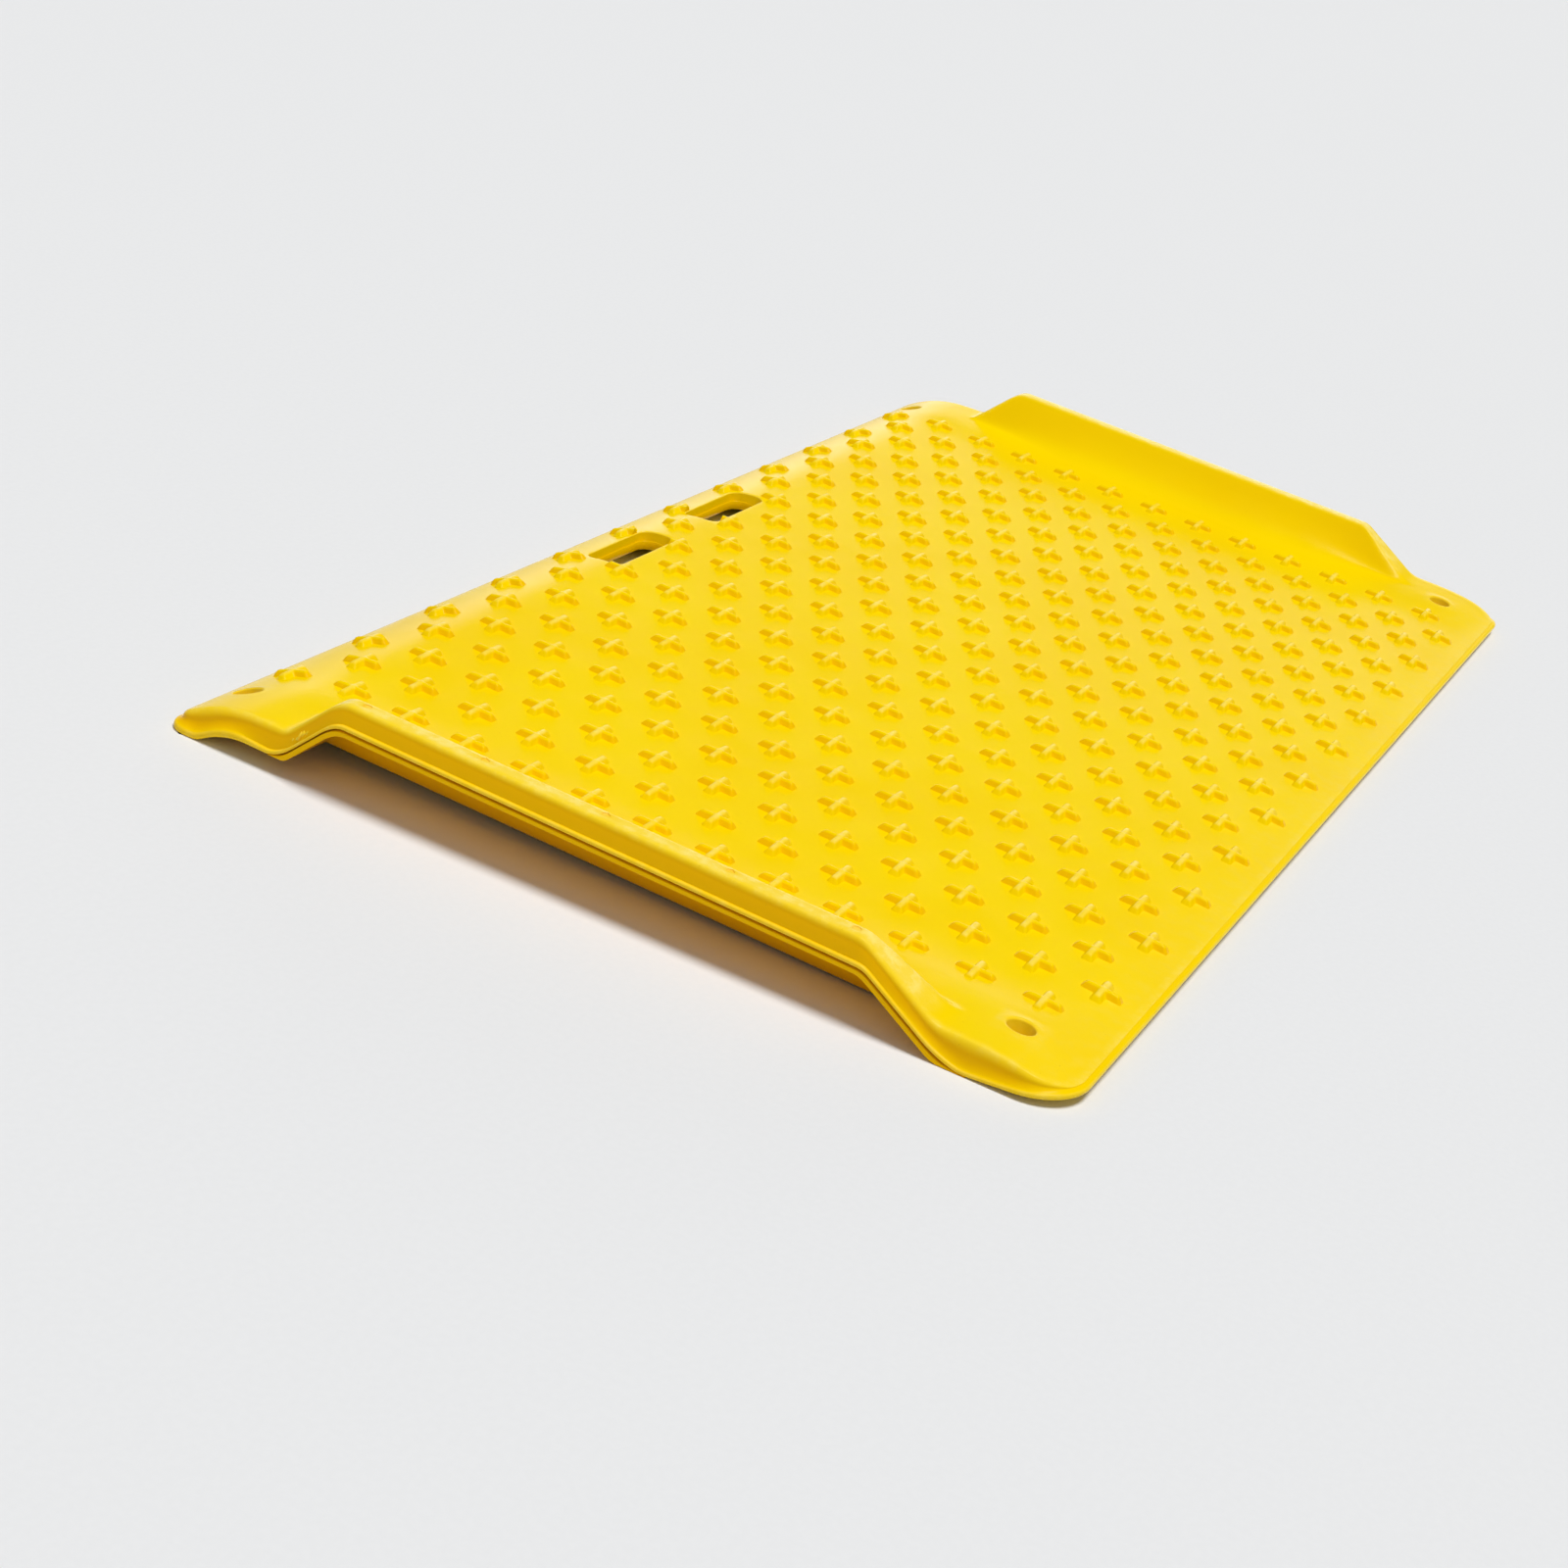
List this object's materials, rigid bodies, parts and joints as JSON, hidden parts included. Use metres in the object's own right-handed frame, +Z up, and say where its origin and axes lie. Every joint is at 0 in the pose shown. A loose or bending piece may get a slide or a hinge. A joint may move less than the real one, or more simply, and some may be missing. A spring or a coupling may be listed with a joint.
{
  "type": "kerb ramp",
  "caption": "Yellow moulded kerb ramp: studded deck between raised side rails, a lip curled over the kerb with hand-holds, a thin toe on the road, and fixing holes at the corners.",
  "frame": {"origin": "middle of the outline on the floor the ramp lies on", "axes": "+X along the kerb, +Y from the toe towards the lip, +Z up"},
  "size_m": [1.2, 0.6104, 0.0608],
  "materials": {
    "yellow_polyethylene": "satin moulded plastic"
  },
  "bodies": {
    "root": {"deck_shell": "yellow_polyethylene", "base_shell": "yellow_polyethylene"}
  },
  "joints": []
}
